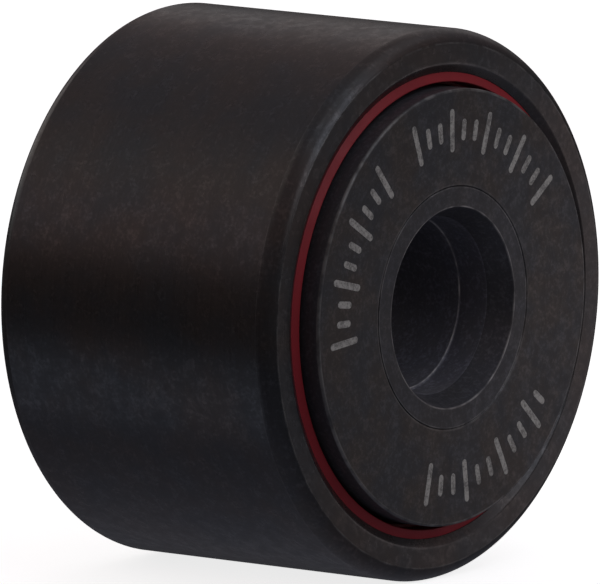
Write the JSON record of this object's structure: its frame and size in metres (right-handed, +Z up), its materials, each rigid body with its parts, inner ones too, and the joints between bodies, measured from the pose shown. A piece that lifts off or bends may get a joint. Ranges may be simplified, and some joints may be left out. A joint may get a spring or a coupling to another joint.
{
  "type": "cam follower",
  "caption": "Sealed yoke-type cam follower: thick-walled roller turning on needle rollers round a bored inner ring, with endplates and red end seals.",
  "frame": {"origin": "centre of the bore at mid-width", "axes": "+Y along the roller's axis, from the marked end to the plain end; +Z up, through the oil hole; +X to the right seen from the marked end"},
  "size_m": [0.0254, 0.0174, 0.0254],
  "materials": {
    "black_oxide_steel": "black oxide, satin",
    "bearing_steel": "ground bright",
    "red_elastomer": "smooth, slightly glossy"
  },
  "bodies": {
    "fixed_core": {"inner_ring": "black_oxide_steel", "front_endplate": "black_oxide_steel", "rear_endplate": "black_oxide_steel"},
    "roller": {"outer_ring": "black_oxide_steel", "front_seal": "red_elastomer", "rear_seal": "red_elastomer"},
    "needle_train": {"needle_01": "bearing_steel"},
    "needle_02_body": {"needle_02": "bearing_steel"},
    "needle_03_body": {"needle_03": "bearing_steel"},
    "needle_04_body": {"needle_04": "bearing_steel"},
    "needle_05_body": {"needle_05": "bearing_steel"},
    "needle_06_body": {"needle_06": "bearing_steel"},
    "needle_07_body": {"needle_07": "bearing_steel"},
    "needle_08_body": {"needle_08": "bearing_steel"},
    "needle_09_body": {"needle_09": "bearing_steel"},
    "needle_10_body": {"needle_10": "bearing_steel"},
    "needle_11_body": {"needle_11": "bearing_steel"},
    "needle_12_body": {"needle_12": "bearing_steel"},
    "needle_13_body": {"needle_13": "bearing_steel"},
    "needle_14_body": {"needle_14": "bearing_steel"},
    "needle_15_body": {"needle_15": "bearing_steel"},
    "needle_16_body": {"needle_16": "bearing_steel"},
    "needle_17_body": {"needle_17": "bearing_steel"},
    "needle_18_body": {"needle_18": "bearing_steel"},
    "needle_19_body": {"needle_19": "bearing_steel"},
    "needle_20_body": {"needle_20": "bearing_steel"}
  },
  "joints": [
    {"name": "roller_spin", "type": "hinge", "parent": "fixed_core", "child": "roller", "pos_m": [0, 0, 0], "axis": [0, 1, 0], "continuous": true},
    {"name": "needle_train_orbit", "type": "hinge", "parent": "fixed_core", "child": "needle_train", "pos_m": [0, 0, 0], "axis": [0, 1, 0], "continuous": true},
    {"name": "needle_02_spin", "type": "hinge", "parent": "needle_train", "child": "needle_02_body", "pos_m": [0.00203, 0, 0.00625], "axis": [0, 1, 0], "continuous": true},
    {"name": "needle_03_spin", "type": "hinge", "parent": "needle_train", "child": "needle_03_body", "pos_m": [0.00386, 0, 0.00531], "axis": [0, 1, 0], "continuous": true},
    {"name": "needle_04_spin", "type": "hinge", "parent": "needle_train", "child": "needle_04_body", "pos_m": [0.00531, 0, 0.00386], "axis": [0, 1, 0], "continuous": true},
    {"name": "needle_05_spin", "type": "hinge", "parent": "needle_train", "child": "needle_05_body", "pos_m": [0.00625, 0, 0.00203], "axis": [0, 1, 0], "continuous": true},
    {"name": "needle_06_spin", "type": "hinge", "parent": "needle_train", "child": "needle_06_body", "pos_m": [0.00657, 0, 0], "axis": [0, 1, 0], "continuous": true},
    {"name": "needle_07_spin", "type": "hinge", "parent": "needle_train", "child": "needle_07_body", "pos_m": [0.00625, 0, -0.00203], "axis": [0, 1, 0], "continuous": true},
    {"name": "needle_08_spin", "type": "hinge", "parent": "needle_train", "child": "needle_08_body", "pos_m": [0.00531, 0, -0.00386], "axis": [0, 1, 0], "continuous": true},
    {"name": "needle_09_spin", "type": "hinge", "parent": "needle_train", "child": "needle_09_body", "pos_m": [0.00386, 0, -0.00531], "axis": [0, 1, 0], "continuous": true},
    {"name": "needle_10_spin", "type": "hinge", "parent": "needle_train", "child": "needle_10_body", "pos_m": [0.00203, 0, -0.00625], "axis": [0, 1, 0], "continuous": true},
    {"name": "needle_11_spin", "type": "hinge", "parent": "needle_train", "child": "needle_11_body", "pos_m": [0, 0, -0.00657], "axis": [0, 1, 0], "continuous": true},
    {"name": "needle_12_spin", "type": "hinge", "parent": "needle_train", "child": "needle_12_body", "pos_m": [-0.00203, 0, -0.00625], "axis": [0, 1, 0], "continuous": true},
    {"name": "needle_13_spin", "type": "hinge", "parent": "needle_train", "child": "needle_13_body", "pos_m": [-0.00386, 0, -0.00531], "axis": [0, 1, 0], "continuous": true},
    {"name": "needle_14_spin", "type": "hinge", "parent": "needle_train", "child": "needle_14_body", "pos_m": [-0.00531, 0, -0.00386], "axis": [0, 1, 0], "continuous": true},
    {"name": "needle_15_spin", "type": "hinge", "parent": "needle_train", "child": "needle_15_body", "pos_m": [-0.00625, 0, -0.00203], "axis": [0, 1, 0], "continuous": true},
    {"name": "needle_16_spin", "type": "hinge", "parent": "needle_train", "child": "needle_16_body", "pos_m": [-0.00657, 0, 0], "axis": [0, 1, 0], "continuous": true},
    {"name": "needle_17_spin", "type": "hinge", "parent": "needle_train", "child": "needle_17_body", "pos_m": [-0.00625, 0, 0.00203], "axis": [0, 1, 0], "continuous": true},
    {"name": "needle_18_spin", "type": "hinge", "parent": "needle_train", "child": "needle_18_body", "pos_m": [-0.00531, 0, 0.00386], "axis": [0, 1, 0], "continuous": true},
    {"name": "needle_19_spin", "type": "hinge", "parent": "needle_train", "child": "needle_19_body", "pos_m": [-0.00386, 0, 0.00531], "axis": [0, 1, 0], "continuous": true},
    {"name": "needle_20_spin", "type": "hinge", "parent": "needle_train", "child": "needle_20_body", "pos_m": [-0.00203, 0, 0.00625], "axis": [0, 1, 0], "continuous": true}
  ],
  "couplings": [
    {"joint": "needle_train_orbit", "follows": "roller_spin", "ratio": 0.57705},
    {"joint": "needle_02_spin", "follows": "roller_spin", "ratio": 3.2431},
    {"joint": "needle_03_spin", "follows": "roller_spin", "ratio": 3.2431},
    {"joint": "needle_04_spin", "follows": "roller_spin", "ratio": 3.2431},
    {"joint": "needle_05_spin", "follows": "roller_spin", "ratio": 3.2431},
    {"joint": "needle_06_spin", "follows": "roller_spin", "ratio": 3.2431},
    {"joint": "needle_07_spin", "follows": "roller_spin", "ratio": 3.2431},
    {"joint": "needle_08_spin", "follows": "roller_spin", "ratio": 3.2431},
    {"joint": "needle_09_spin", "follows": "roller_spin", "ratio": 3.2431},
    {"joint": "needle_10_spin", "follows": "roller_spin", "ratio": 3.2431},
    {"joint": "needle_11_spin", "follows": "roller_spin", "ratio": 3.2431},
    {"joint": "needle_12_spin", "follows": "roller_spin", "ratio": 3.2431},
    {"joint": "needle_13_spin", "follows": "roller_spin", "ratio": 3.2431},
    {"joint": "needle_14_spin", "follows": "roller_spin", "ratio": 3.2431},
    {"joint": "needle_15_spin", "follows": "roller_spin", "ratio": 3.2431},
    {"joint": "needle_16_spin", "follows": "roller_spin", "ratio": 3.2431},
    {"joint": "needle_17_spin", "follows": "roller_spin", "ratio": 3.2431},
    {"joint": "needle_18_spin", "follows": "roller_spin", "ratio": 3.2431},
    {"joint": "needle_19_spin", "follows": "roller_spin", "ratio": 3.2431},
    {"joint": "needle_20_spin", "follows": "roller_spin", "ratio": 3.2431}
  ]
}
